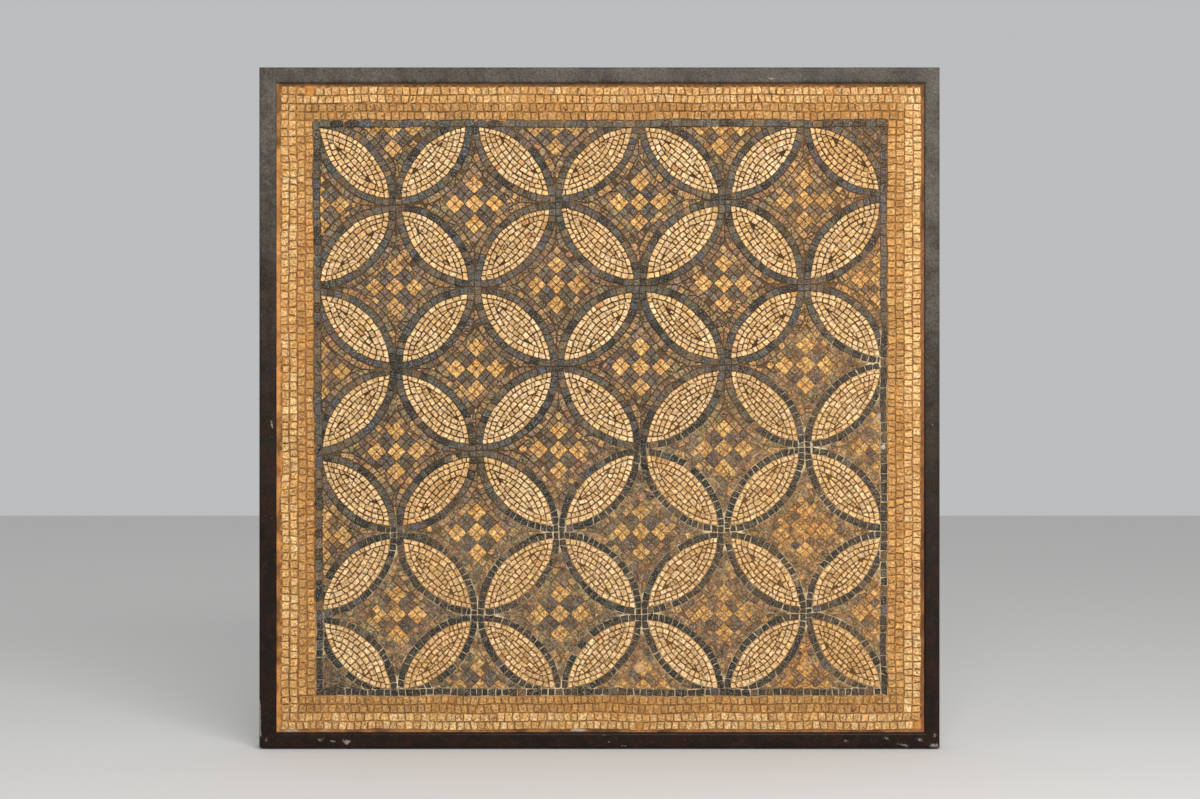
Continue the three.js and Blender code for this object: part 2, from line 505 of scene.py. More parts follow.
# where soil and mortar have coloured the joints and the stones
soil = {
    "paleLean": Vector((0.45, -0.9)),      # the joints grow pale down and to the right
    "paleReach": 110.0,
    "warmStart": 60.0,
    "warmReach": 330.0,
    "stains": (                             # column, row, reach, strength
        (6.6, 0.5, 50.0, 0.9), (6.7, 1.6, 44.0, 0.6), (6.0, 0.9, 30.0, 0.4),
        (6.0, 5.0, 46.0, 0.9), (6.85, 2.0, 60.0, 0.6), (6.8, 4.0, 46.0, 0.45), (6.9, 6.0, 50.0, 0.7),
        (6.0, 6.75, 46.0, 0.75), (5.0, 0.2, 40.0, 0.45), (4.0, 6.8, 40.0, 0.45), (0.1, 5.0, 40.0, 0.4),
        (5.0, 6.0, 55.0, 0.35), (1.0, 6.0, 35.0, 0.35), (0.1, 3.0, 36.0, 0.35),
    ),
}

jointTones = {
    "brown": sRgb(66, 44, 18),
    "umber": sRgb(98, 66, 28),
    "clay": sRgb(146, 104, 54),
    "dark": sRgb(52, 46, 36),
    "earth": sRgb(98, 72, 44),
    "pale": sRgb(226, 200, 158),
    "rust": sRgb(140, 88, 42),
    "orange": sRgb(206, 138, 66),
}

# behind the stones' faces, and how much shallower where the joints are pale
jointDepths = {"petal": (1.7, 0.6), "border": (1.2, 0.0), "band": (1.6, 0.6), "ground": (1.5, 0.4)}

# for the mortar: each stone's middle, the tone and depth of its joints, and the tone of bare mortar
bedding = []


def paleShare(point):
    away = point.dot(soil["paleLean"]) + drift(point, 60, 3.0) * 55
    return smooth(away / soil["paleReach"])


def warmShare(point):
    share = 0.4 * smooth((point.x - soil["warmStart"]) / soil["warmReach"])
    for column, row, reach, strength in soil["stains"]:
        away = (point - crossingAt(column, row)).length
        share = max(share, strength * smooth((reach - away + drift(point, 18, 9.0) * 16) / 22))
    return share


def bedJoint(outline, kind, dice, borderTone=None):
    middle = meanOf(outline)
    pale = paleShare(middle)
    bare = jointTones["earth"]
    if kind == "petal":
        tone = jointTones["brown"].lerp(jointTones["umber"], pale)
        bare = jointTones["clay"]
    elif kind == "border":
        tone = borderTone
        bare = jointTones["orange"]
    elif kind == "band":
        pale *= dice.choice((0.35, 0.7, 1.0, 1.0))
        dull = jointTones["dark"].lerp(jointTones["clay"], 0.9 * dice.random() ** 2)
        tone = dull.lerp(jointTones["pale"], pale)
    else:
        tone = jointTones["dark"].lerp(jointTones["earth"], 0.4 + 0.3 * pale)
        tone = tone.lerp(jointTones["rust"], 0.8 * warmShare(middle))
        tone = tone.lerp(jointTones["pale"], 0.6 * pale * dice.random() ** 2)
    deepest, shallower = jointDepths[kind]
    bedding.append((middle, tone, deepest - shallower * pale, bare))


def unfold(mesh, across, swell, shrink):
    # on the bake map a face's sides lie round it in its square, and every back lies small in the last
    spots = mesh.uv_layers["OFBake"].uv
    back = max(vertex.co.y for vertex in mesh.vertices) - 2 * mm
    for face in mesh.polygons:
        if face.normal.y < -0.5:
            continue
        for index in face.loop_indices:
            spot = Vector(spots[index].vector)
            if face.normal.y > 0.5:
                spots[index].vector = Vector((1, 1)) - (Vector((1, 1)) - spot) * shrink
            elif mesh.vertices[mesh.loops[index].vertex_index].co.y > back:
                middle = Vector((math.floor(level * across) + 0.5 for level in spot)) / across
                spots[index].vector = middle + (spot - middle) * swell


def raiseStones(name, stones, material, replaced):
    # stones is a list of (outline, tint); each outline becomes a closed, chamfered solid
    dice = random.Random(name + " relief")
    below = cutting["chamfer"] + cutting["crown"]
    places, faces, tints, spots = [], [], [], []
    across = math.ceil(math.sqrt(len(stones) + 1))
    for outline, tint in stones:
        middle = meanOf(outline)
        lift = max(dice.gauss(0, cutting["lift"]), cutting["lowest"])
        tilt = Vector((dice.gauss(0, cutting["tilt"]), dice.gauss(0, cutting["tilt"])))
        first = len(places)
        for point in outline:
            rise = min(lift + tilt.dot(point - middle), cutting["highest"])
            places.append((point.x * mm, (below - stoneFace - rise) * mm, point.y * mm))
        faces.append(range(first, len(places)))
        tints.append(tint)
        # each stone has a square of the bake map to itself
        low, high = boxOf(outline)
        square = Vector(((len(faces) - 1) % across + 0.5, (len(faces) - 1) // across + 0.5))
        for point in outline:
            away = (point - (low + high) / 2) * cutting["mapShare"] / max(high - low)
            spots.extend((square + away) / across)
    mesh = bpy.data.meshes.new(name)
    mesh.from_pydata(places, [], faces)
    mesh.uv_layers.new(name="OFBake").uv.foreach_set("vector", spots)
    colour = mesh.attributes.new("tint", "FLOAT_COLOR", "FACE")
    colour.data.foreach_set("color", [level for tint in tints for level in (*tint, 1)])
    piece = bpy.data.objects.new(name, mesh)
    scene.collection.objects.link(piece)
    pickOnly(piece)
    body = piece.modifiers.new("body", "SOLIDIFY")
    body.thickness = (stoneFace - stoneBack - cutting["bedded"]) * mm
    body.offset = -1
    applyModifiers(piece)
    pickParts(piece, "FACE", lambda face: face.normal.y < -0.9)
    for step in ("chamfer", "crown"):
        wide, deep = cutting[step + "Wide"] * mm, cutting[step] * mm
        bpy.ops.mesh.inset(thickness=wide, depth=deep, use_individual=True)
    bpy.ops.object.mode_set(mode="OBJECT")
    core = [0.0] * len(mesh.vertices)
    for face in mesh.polygons:
        if face.select:
            for vertex in face.vertices:
                core[vertex] = 1.0
    giveLevels(mesh, "core", core)
    unfold(mesh, across, cutting["mapSwell"], 1 / across)
    finishPiece(piece, material, replaced)


def makeFilm():
    # old mortar and dirt smeared over whatever lies under it
    inputs = {"Base": (0.5, 0.5, 0.5, 1), "Film": (0.4, 0.27, 0.15, 1), "Amount": 0.3}
    group, given, out = startGroup("mortarFilm", inputs, ["Color"])
    place = objectPlace(group)
    wide = remap(group, grain(group, place, 15.0, 4.0, 0.6), 0.46, 0.62)
    fine = remap(group, grain(group, place, 240.0, 3.0, 0.6), 0.42, 0.58)
    share = calc(group, "MULTIPLY", calc(group, "MULTIPLY", wide, fine), given["Amount"])
    feed(group, out["Color"], blend(group, share, given["Base"], given["Film"]))
    return group


def makeStoneGroup(film):
    # the cut face of a stone: its own tint, mottled, flecked and pitted, darker towards its rim with dirt
    # and painted shade
    inputs = {"Scale": 330.0, "Mottle": 0.3, "Fleck": 0.3, "Pits": 0.5, "Rim Shade And Dirt": 0.5,
              "Rim Shade And Dirt Color": (0.13, 0.07, 0.03, 1), "Film": (0.4, 0.27, 0.15, 1), "Film Amount": 0.3}
    group, given, out = startGroup("stoneFace", inputs)
    place = objectPlace(group)
    tint = readAttribute(group, "tint").outputs["Color"]
    core = readAttribute(group, "core").outputs["Fac"]
    cloud = grain(group, place, given["Scale"], 3.0, 0.65)
    low = calc(group, "SUBTRACT", 1.0, given["Mottle"])
    high = calc(group, "ADD", 1.0, given["Mottle"])
    mottled = scaleColour(group, tint, remap(group, cloud, 0.36, 0.64, low, high))
    stained = blend(group, 1.0, mottled, (0.86, 0.62, 0.36, 1), "MULTIPLY")
    warm = remap(group, grain(group, place, 120.0, 2.0, 0.5), 0.46, 0.66)
    colour = blend(group, calc(group, "MULTIPLY", warm, given["Mottle"]), mottled, stained)
    flecks = remap(group, grain(group, place, 760.0, 1.0), 0.56, 0.66)
    colour = blend(group, calc(group, "MULTIPLY", flecks, given["Fleck"]), colour, (0.9, 0.8, 0.64, 1))
    pits = remap(group, grain(group, place, 470.0, 2.0, 0.6), 0.55, 0.64)
    # painted shade: each face darkens towards its rim, away from its flat core, along with dirt
    rim = calc(group, "MULTIPLY", calc(group, "SUBTRACT", 1.0, core), given["Rim Shade And Dirt"])
    rim = calc(group, "MULTIPLY", rim, remap(group, cloud, 0.3, 0.6, 1.35, 0.5), clamp=True)
    dirty = calc(group, "MAXIMUM", rim, calc(group, "MULTIPLY", pits, given["Pits"]))
    colour = blend(group, dirty, colour, given["Rim Shade And Dirt Color"])
    under = {"Base": colour, "Film": given["Film"], "Amount": given["Film Amount"]}
    feed(group, out["Color"], placeGroup(group, film, under)["Color"])
    feed(group, out["Roughness"], remap(group, cloud, 0.3, 0.7, 0.66, 0.9))
    feed(group, out["Height"], calc(group, "SUBTRACT", cloud, pits))
    return group


filmGroup = makeFilm()
stoneGroup = makeStoneGroup(filmGroup)


def makeStone(name, bumpDistance, **values):
    named = {"rim": "Rim Shade And Dirt", "rimColor": "Rim Shade And Dirt Color", "film": "Film", "filmAmount": "Film Amount",
             "mottle": "Mottle", "fleck": "Fleck", "pits": "Pits"}
    given = {named[key]: value for key, value in values.items()}
    return newMaterial(name, stoneGroup, given, bumpDistance)


petalStone = makeStone("petalLimestone", 0.0008, mottle=0.34, fleck=0.5, pits=0.62, rim=0.5,
                       rimColor=sRgb(112, 74, 28), film=sRgb(178, 130, 70), filmAmount=0.6)
creamStone = makeStone("creamLimestone", 0.0008, mottle=0.42, fleck=0.5, pits=0.65, rim=0.45,
                       rimColor=sRgb(114, 70, 20), film=sRgb(182, 126, 60), filmAmount=0.6)
ochreStone = makeStone("ochreLimestone", 0.0008, mottle=0.4, fleck=0.32, pits=0.55, rim=0.35,
                       rimColor=sRgb(104, 64, 18), film=sRgb(166, 114, 52), filmAmount=0.6)
darkStone = makeStone("darkBasalt", 0.0006, mottle=0.5, fleck=0.24, pits=0.3, rim=0.15,
                      rimColor=sRgb(44, 38, 30), film=sRgb(150, 116, 76), filmAmount=0.34)
groundStone = makeStone("brownMarble", 0.0008, mottle=0.56, fleck=0.24, pits=0.6, rim=0.3,
                        rimColor=sRgb(60, 42, 24), film=sRgb(146, 108, 64), filmAmount=0.35)


petal = {
    "course": (5.8, 7.8),
    "stone": (7.4, 10.0),
    "spine": 6.9,
    "uneven": 0.32,
    "joint": 1.0,
    "pastBand": 0.2,        # the outermost course runs on this far under the band's edge
    "leastHeart": 3.0,      # courses are laid until less than this would be left
    "plans": ("+-+-", "+-++-", "-+-+", "-+--+", "+-+++", "-+---", "+-+-+"),
    "colours": (sRgb(254, 220, 168), sRgb(250, 212, 154), sRgb(228, 184, 124),
                sRgb(240, 200, 130), sRgb(250, 206, 158)),
    "odd": (sRgb(208, 146, 88), sRgb(196, 150, 96)),
    "oddShare": 0.02,
    "ochre": sRgb(222, 162, 80),
    "brightness": (0.78, 1.08),
    "rimGain": 1.05,        # the two outermost courses are cleaner
    "heartGain": 0.95,
}


def petalTint(point, dice, warm, outer):
    a, b = dice.sample(petal["colours"], 2)
    tint = a.lerp(b, dice.random())
    if dice.random() < petal["oddShare"]:
        tint = dice.choice(petal["odd"])
    tint = tint.lerp(petal["ochre"], min(0.75, warm + 0.45 * warmShare(point)))
    return tint * dice.uniform(*petal["brightness"]) * petal["rimGain" if outer else "heartGain"]


def layPetal(column, row):
    name = f"petal_stones_r{row + 1}_c{column + 1}"
    dice = random.Random(name)
    cell = grid[column, row]
    half = cell["half"]
    reach = {side: half * math.sqrt(2) - setting["bandInside"] + petal["pastBand"] for side in (1, -1)}
    warm = max(0, min(0.6, dice.gauss(0.1, 0.12)))
    stones = []

    def lay(spaces, limits, outer=False):
        for space in spaces:
            outline = hew(trim(space, limits), petal["joint"], dice)
            if outline:
                stones.append((outline, petalTint(meanOf(outline), dice, warm, outer)))
                bedJoint(outline, "petal", dice)

    for number, sign in enumerate(dice.choice(petal["plans"])):
        side = 1 if sign == "+" else -1
        width = dice.uniform(*petal["course"])
        if reach[1] + reach[-1] - 2 * half < width + petal["leastHeart"]:
            break
        centre = petalCircle(cell, side)[0]
        offset = (reach[side] ** 2 - reach[-side] ** 2) / (4 * half)
        turn = math.acos((offset + half) / reach[side])
        heading = headingOf(cell["across"] * side)
        spaces = arcCourse(centre, reach[side] - width, reach[side], heading - turn, heading + turn,
                           dice.uniform(*petal["stone"]), dice, petal["uneven"])
        lay(spaces, [("inside", petalCircle(cell, -side)[0], reach[-side])], outer=number < 2)
        reach[side] -= width
    low, high = half - reach[-1], reach[1] - half
    rows = max(1, round((high - low) / petal["spine"]))
    offset = (reach[1] ** 2 - reach[-1] ** 2) / (4 * half)
    span = math.sqrt(max(1, reach[1] ** 2 - (offset + half) ** 2))
    width = (high - low) / rows
    limits = [("inside", petalCircle(cell, side)[0], reach[side]) for side in (1, -1)]
    for number in range(rows):
        start = cell["middle"] + cell["across"] * (low + (number + 1) * width) + cell["along"] * span
        end = start - cell["along"] * span * 2
        # run this way, the course's width lies towards the low side
        lay(straightCourse(start, end, width, dice.uniform(*petal["stone"]), dice, petal["uneven"]), limits)
    raiseStones(name, stones, petalStone, [f"petal_r{row + 1}_c{column + 1}"])


for row in cells:
    for column in cells:
        layPetal(column, row)
print("petals laid")


# the dark course round every circle, and the line of the same stones round the field
band = {
    "stone": (8.4, 11.6),
    "joint": (0.65, 1.0),       # where the mortar is dark, and where it is pale
    "colours": (sRgb(82, 78, 64), sRgb(68, 72, 66), sRgb(98, 84, 64), sRgb(68, 70, 76), sRgb(86, 72, 66)),
    "clean": (sRgb(38, 37, 29), sRgb(32, 36, 33), sRgb(48, 41, 30), sRgb(38, 33, 35)),
    "warm": sRgb(136, 102, 64),
    "brightness": (0.78, 1.25),
    # how much longer the stones are in the field's line
    "stretch": {"bottom": 1.0, "right": 1.35, "top": 1.4, "left": 1.15},
}


def bandTint(point, dice):
    # neighbours came out of one basket, so they are alike
    tints = band["clean"] if dice.random() < 0.25 + 0.7 * paleShare(point) else band["colours"]
    basket = int((0.5 + 0.5 * drift(point, 32, 7.0)) * len(tints)) % len(tints)
    tint = tints[basket].lerp(dice.choice(tints), 0.6 * dice.random())
    if dice.random() < 0.05:
        tint = tint.lerp(band["warm"], dice.uniform(0.3, 0.8))
    return tint.lerp(band["warm"], 0.2 * warmShare(point)) * dice.uniform(*band["brightness"])


def hewBand(space, dice, stones):
    narrow, wide = band["joint"]
    outline = hew(space, narrow + (wide - narrow) * (paleShare(meanOf(space)) if space else 0), dice)
    if outline:
        stones.append((outline, bandTint(meanOf(outline), dice)))
        bedJoint(outline, "band", dice)


def layBand(column, row):
    name = f"band_stones_r{row + 1}_c{column + 1}"
    dice = random.Random(name)
    cell = grid[column, row]
    edges = cellEdges(column, row)
    stones = []
    for side in (1, -1):
        centre, radius = petalCircle(cell, side)
        limits = fieldLimits(column, row)
        for sign in (1, -1):
            tip = cell["middle"] + sign * cell["half"] * cell["along"]
            if abs(tip.y - centre.y) > abs(tip.x - centre.x):
                # this end runs level, and stops at the upright band
                point, inward = edges["west" if tip.x < cell["middle"].x else "east"]
                limits.append(("line", point + inward * setting["bandInside"], inward))
        heading = headingOf(cell["across"] * side)
        turn = math.pi / 4 + 2 / radius
        spaces = arcCourse(centre, radius - setting["bandInside"], radius + setting["bandOutside"],
                           heading - turn, heading + turn, dice.uniform(*band["stone"]), dice)
        for space in spaces:
            hewBand(trim(space, limits), dice, stones)
    raiseStones(name, stones, darkStone, ["circle_outlines"])


def layFieldLine():
    last = setting["cells"]
    corners = [lattice[key] for key in ((0, last), (last, last), (last, 0), (0, 0))]
    width = setting["bandInside"] + setting["bandOutside"]
    stones = []
    for name, (a, b) in zip(("bottom", "right", "top", "left"), sidesOf(corners)):
        dice = random.Random(name)
        along = (b - a).normalized()
        outward = Vector((along.y, -along.x))
        start = a + (outward - along) * setting["bandOutside"]
        end = b + outward * setting["bandOutside"] - along * setting["bandInside"]
        size = dice.uniform(*band["stone"]) * band["stretch"][name]
        for space in straightCourse(start, end, width, size, dice):
            hewBand(space, dice, stones)
    raiseStones("field_line_stones", stones, darkStone, ["circle_outlines"])


for row in cells:
    for column in cells:
        layBand(column, row)
layFieldLine()
print("bands laid")


# the brown ground in the curved diamonds, with its crosslets
ground = {
    "course": 8.4,
    "courseStone": 8.6,
    "clear": 0.2,           # between a band and the course beside it
    "pitch": 9.3,
    "rows": 8,              # to each side of the middle
    "reach": 104.0,         # from the middle to a diamond's points
    "halved": 0.2,
    "missing": 0.012,
    "joint": 0.75,
    "edgeInset": 8.5,       # an edge diamond's crosslet is centred on the field line's inner side
    "brown": (sRgb(146, 116, 90), sRgb(122, 110, 80), sRgb(174, 134, 82), sRgb(152, 110, 78),
              sRgb(118, 96, 86), sRgb(188, 148, 94), sRgb(96, 80, 70), sRgb(134, 122, 82)),
    "dark": (sRgb(100, 84, 74), sRgb(84, 74, 70), sRgb(116, 94, 72), sRgb(98, 92, 74)),
    "slate": (sRgb(88, 78, 64), sRgb(100, 82, 68), sRgb(78, 74, 68), sRgb(122, 96, 64)),
    "crosslet": (sRgb(232, 186, 110), sRgb(214, 160, 84), sRgb(226, 174, 110), sRgb(202, 154, 88)),
    "crossletJoint": 0.6,
    "ochre": sRgb(210, 148, 68),
}


def groundTint(point, kind, dice, tone):
    a, b = dice.sample(ground[kind], 2)
    tint = a.lerp(b, dice.random())
    warm = warmShare(point)
    if kind == "crosslet":
        return tint.lerp(ground["ochre"], 0.5 * warm) * tone * dice.uniform(0.88, 1.08)
    if kind == "slate":
        warm *= 0.3
    return tint.lerp(ground["ochre"], warm * dice.uniform(0.0, 1.0)) * dice.uniform(0.65, 1.3)


def layGround(column, row):
    name = f"ground_stones_{column}_{row}"
    dice = random.Random(name)
    last = setting["cells"]
    centre = lattice[column, row]
    corner = column in (0, last) and row in (0, last)
    plain = "slate" if corner else "brown"
    edge = column in (0, last) or row in (0, last)
    tone = dice.uniform(0.84, 1.04) * (0.88 if edge else 1)
    stones = []

    def lay(space, limits, kind):
        space = trim(space, limits)
        broken = kind == plain and dice.random() < ground["halved"] and len(space) > 2
        for part in halve(space, dice) if broken else [space]:
            outline = hew(part, ground["crossletJoint" if kind == "crosslet" else "joint"], dice)
            if outline and dice.random() > ground["missing"]:
                stones.append((outline, groundTint(meanOf(outline), kind, dice, tone)))
                bedJoint(outline, "ground", dice)

    limits = []
    for key in ((column, row - 1), (column - 1, row - 1), (column - 1, row), (column, row)):
        if key not in grid:
            continue
        cell = grid[key]
        side = 1 if (centre - cell["middle"]).dot(cell["across"]) > 0 else -1
        far, radius = petalCircle(cell, side)
        inner = radius + setting["bandOutside"] + ground["clear"]
        outer = inner + ground["course"]
        heading = headingOf(cell["across"] * side)
        start, end = heading - math.pi / 4, heading + math.pi / 4
        for space in arcCourse(far, inner, outer, start, end, ground["courseStone"], dice):
            lay(space, fieldLimits(*key), plain)
        limits.append(("outside", far, outer))
        for limit, edgeName in zip(fieldLimits(*key), cellEdges(*key)):
            if onFieldEdge(*key, edgeName):
                limits.append(limit)
    inward = Vector(((column == 0) - (column == last), (row == last) - (row == 0)))
    middle = centre + inward * ground["edgeInset"]
    right = Vector((1, -1)).normalized() * ground["pitch"]
    up = Vector((1, 1)).normalized() * ground["pitch"]
    rows = range(-ground["rows"], ground["rows"])
    for i in rows:
        for j in rows:
            space = [middle + right * (i + a) + up * (j + b) for a, b in ((0, 0), (1, 0), (1, 1), (0, 1))]
            away = meanOf(space) - centre
            if abs(away.x) + abs(away.y) > ground["reach"]:
                continue
            blockI, blockJ = abs((i + 1) // 2), abs((j + 1) // 2)
            kind = plain
            if not corner and blockI <= 1 and blockJ <= 1:
                kind = "crosslet" if blockI == blockJ else "dark"
            lay(space, limits, kind)
    raiseStones(name, stones, groundStone, ["diamond_ground"])


for row in crossings:
    for column in crossings:
        if (column + row) % 2:
            layGround(column, row)
print("ground laid")


border = {
    "stone": (9.6, 10.8),
    "joint": 1.15,
    "courses": 4,
    "cream": (sRgb(244, 198, 126), sRgb(230, 180, 104), sRgb(248, 206, 140), sRgb(216, 162, 90)),
    "ochre": (sRgb(212, 158, 84), sRgb(196, 142, 72), sRgb(218, 168, 98), sRgb(186, 134, 68)),
    # how light a side's outer and inner courses are, and how orange
    "sides": {"left": (0.94, 0.92, 0.2), "right": (1.02, 0.98, 0.1),
              "top": (0.85, 0.79, 0.25), "bottom": (0.86, 0.79, 0.1)},
    "uneven": 0.14,
    "skew": 0.6,
    "orange": sRgb(214, 150, 80),
    "brightness": (0.84, 1.1),
    "joints": {"left": (sRgb(104, 66, 26), sRgb(138, 90, 44)),
               "right": (sRgb(104, 64, 24), sRgb(106, 68, 28)),
               "top": (sRgb(84, 52, 18), sRgb(88, 54, 20)),
               "bottom": (sRgb(112, 74, 34), sRgb(120, 78, 38))},
    "lost": ((0.0, -0.31), (-0.45, 4.0), (3.98, 7.36), (7.38, 7.36)),    # column, row of lost stones
    "lostReach": 6.0,
}


def borderTint(point, side, kind, dice):
    a, b = dice.sample(border[kind], 2)
    outerLevel, innerLevel, orange = border["sides"][side]
    level = outerLevel if kind == "cream" else innerLevel
    tint = a.lerp(b, dice.random())
    tint = tint.lerp(border["orange"], max(0, min(0.8, orange + 0.25 * drift(point, 30, 5.0))))
    return tint * level * dice.uniform(*border["brightness"])


def layBorder():
    last = setting["cells"]
    (left, low), (right, high) = borderLow, borderHigh
    outer = [Vector(corner) for corner in ((left, low), (right, low), (right, high), (left, high))]
    corners = {(0, last): (-1, -1), (last, last): (1, -1), (last, 0): (1, 1), (0, 0): (-1, 1)}
    inner = [lattice[key] + Vector(sign) * setting["bandOutside"] for key, sign in corners.items()]
    count = border["courses"]
    lost = [crossingAt(*place) for place in border["lost"]]

    def ring(number):
        return [a.lerp(b, number / count) for a, b in zip(outer, inner)]

    for number in range(count):
        outside, inside = ring(number), ring(number + 1)
        pairOut, pairIn = ring(number // 2 * 2), ring(number // 2 * 2 + 2)
        kind = "cream" if number < 2 else "ochre"
        material = creamStone if number < 2 else ochreStone
        stones = []
        for k, side in enumerate(("bottom", "right", "top", "left")):
            dice = random.Random(f"border {number} {side}")
            after = (k + 1) % 4
            start, end = outside[k].copy(), outside[after].copy()
            if side in ("bottom", "top"):       # the level courses run through at the corners, two by two
                start.x, end.x = pairOut[k].x, pairOut[after].x
                width = abs(inside[k].y - outside[k].y)
            else:
                start.y, end.y = pairIn[k].y, pairIn[after].y
                width = abs(inside[k].x - outside[k].x)
            tone = border["joints"][side][number // 2]
            size = dice.uniform(*border["stone"])
            for space in straightCourse(start, end, width, size, dice, border["uneven"]):
                outline = hew(space, border["joint"], dice, border["skew"])
                if not outline:
                    continue
                if any((meanOf(outline) - place).length < border["lostReach"] for place in lost):
                    continue
                tint = borderTint(meanOf(outline), side, kind, dice)
                stones.append((outline, tint))
                bedJoint(outline, "border", dice, tone.lerp(tint * 0.8, 0.7 * dice.random() ** 2))
        raiseStones(f"border_stones_{number + 1}", stones, material,
                    [f"border_course_{number + 1}"])


layBorder()
print("border laid")


mortarBed = {
    "grid": 2.95,
    "back": sRgb(150, 138, 120),
    "reachOfStone": 5.6,     # beyond this from every stone's middle, the mortar lies bare
    # the bare mortar's tone beyond each side of the border; the top one is dark as painted shadow under the
    # top rail
    "marginTonesWithTopShadow": {"left": sRgb(220, 148, 76), "right": sRgb(146, 92, 54),
                "top": sRgb(106, 66, 30), "bottom": sRgb(168, 112, 66)},
    "stained": sRgb(84, 52, 28),
    # column, row, radius, depth and tone of later fillings
    "patches": ((3.97, 6.67, 9.0, -0.9, sRgb(206, 164, 112)), (1.73, 4.08, 6.0, -0.2, sRgb(196, 156, 98)),
                (6.97, 4.0, 5.0, -0.5, sRgb(196, 190, 172))),
    "smears": ((-0.32, 7.42, 17.0), (3.2, 7.43, 12.0), (0.1, 7.43, 9.0)),      # column, row, reach
    "smearTone": sRgb(196, 186, 168),
    # on the bake map: where the front lies, how far its rim reaches round it, how small the back lies
    "mapEdge": 0.02,
    "mapSide": 0.92,
    "mapSwell": 1.02,
    "mapShrink": 0.05,
}


def makeMortarMaterial():
    group, given, out = startGroup("mortarFace", {"Grit": 0.3})
    place = objectPlace(group)
    tone = readAttribute(group, "tone").outputs["Color"]
    cloud = grain(group, place, 160.0, 5.0, 0.65)
    mottled = scaleColour(group, tone, remap(group, cloud, 0.3, 0.7, 0.72, 1.25))
    sand = remap(group, grain(group, place, 1300.0, 1.0), 0.55, 0.7)
    colour = blend(group, calc(group, "MULTIPLY", sand, given["Grit"]), mottled, (0.75, 0.6, 0.42, 1))
    holes = remap(group, grain(group, place, 420.0, 2.0), 0.62, 0.7)
    colour = blend(group, calc(group, "MULTIPLY", holes, 0.6), colour, (0.09, 0.05, 0.02, 1))
    feed(group, out["Color"], colour)
    feed(group, out["Roughness"], remap(group, cloud, 0.3, 0.7, 0.85, 1.0))
    feed(group, out["Height"], calc(group, "SUBTRACT", calc(group, "ADD", cloud, sand), holes))
    return newMaterial("limeMortar", group, {"Grit": 0.25}, 0.0008, 0.2)


def mortarAt(point, tree):
    # (tone, depth behind the stones' faces) of the mortar at a place
    found = tree.find_n(Vector((point.x, point.y, 0)), 3)
    beyond = {"left": borderLow.x - point.x, "right": point.x - borderHigh.x,
              "bottom": borderLow.y - point.y, "top": point.y - borderHigh.y}
    side = max(beyond, key=beyond.get)
    if beyond[side] > 0:
        # the top margin's dark tone is painted shadow under the top rail
        tone = mortarBed["marginTonesWithTopShadow"][side]
        tone = tone.lerp(mortarBed["stained"], 0.8 * smooth(0.3 + drift(point, 22, 2.0)))
        for column, row, reach in mortarBed["smears"]:
            away = point - crossingAt(column, row)
            share = smooth((reach - Vector((away.x, away.y * 3)).length) / 6)
            tone = tone.lerp(mortarBed["smearTone"], share)
        return tone, stoneFace - marginFace + 0.2 * drift(point, 9, 4.0)
    tone, depth, total = Vector((0, 0, 0)), 0, 0
    for _, index, away in found:
        weight = 1 / (away + 0.5) ** 4
        tone += bedding[index][1] * weight
        depth += bedding[index][2] * weight
        total += weight
    bare = bedding[found[0][1]][3]
    share = smooth((found[0][2] - mortarBed["reachOfStone"]) / 1.5)
    return (tone / total).lerp(bare, share), depth / total


def makeMortar(material):
    low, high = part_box("mortar_bed")
    steps = round((high.x - low.x) / (mortarBed["grid"] * mm))
    bpy.ops.object.select_all(action="DESELECT")
    bpy.ops.mesh.primitive_grid_add(x_subdivisions=steps, y_subdivisions=steps, size=high.x - low.x,
                                    location=(0, -stoneFace * mm, 0), rotation=(math.pi / 2, 0, 0))
    piece = bpy.context.object
    piece.name = piece.data.name = "mortar"
    bpy.ops.object.transform_apply(location=True, rotation=True, scale=True)
    bpy.ops.object.mode_set(mode="EDIT")
    bpy.ops.mesh.select_all(action="SELECT")
    bpy.ops.mesh.region_to_loop()
    bpy.ops.mesh.extrude_region_move(TRANSFORM_OT_translate={"value": (0, stoneFace * mm, 0)})
    bpy.ops.mesh.edge_face_add()
    bpy.ops.mesh.select_all(action="SELECT")
    bpy.ops.mesh.normals_make_consistent(inside=False)
    bpy.ops.object.mode_set(mode="OBJECT")
    tree = kdtree.KDTree(len(bedding))
    for index, joint in enumerate(bedding):
        tree.insert((joint[0].x, joint[0].y, 0), index)
    tree.balance()
    patches = [(crossingAt(patch[0], patch[1]), *patch[2:]) for patch in mortarBed["patches"]]
    tones = []
    for vertex in piece.data.vertices:
        point = Vector((vertex.co.x, vertex.co.z)) / mm
        if vertex.co.y > -1 * mm:
            tones += (*mortarBed["back"], 1)
            continue
        tone, depth = mortarAt(point, tree)
        for place, radius, level, patchTone in patches:
            share = smooth((radius - (point - place).length + drift(point, 6, 1.0)) / 2.5)
            tone = tone.lerp(patchTone, share)
            depth += (level - depth) * share
        bumps = drift(point, 11, 6.0) * 0.18 + drift(point, 3.5, 8.0) * 0.14
        vertex.co.y = (depth + bumps - stoneFace) * mm
        tones += (*tone, 1)
    piece.data.attributes.new("tone", "FLOAT_COLOR", "POINT").data.foreach_set("color", tones)
    spots = []
    for loop in piece.data.loops:
        place = piece.data.vertices[loop.vertex_index].co
        for level in (place.x, place.z):
            spots.append(mortarBed["mapEdge"] + mortarBed["mapSide"] * (level / (high.x - low.x) + 0.5))
    piece.data.uv_layers[0].name = "OFBake"
    piece.data.uv_layers[0].uv.foreach_set("vector", spots)
    unfold(piece.data, 1, mortarBed["mapSwell"], mortarBed["mapShrink"])
    finishPiece(piece, material, ["mortar_bed"])


makeMortar(makeMortarMaterial())
print("mortar made round", len(bedding), "stones")


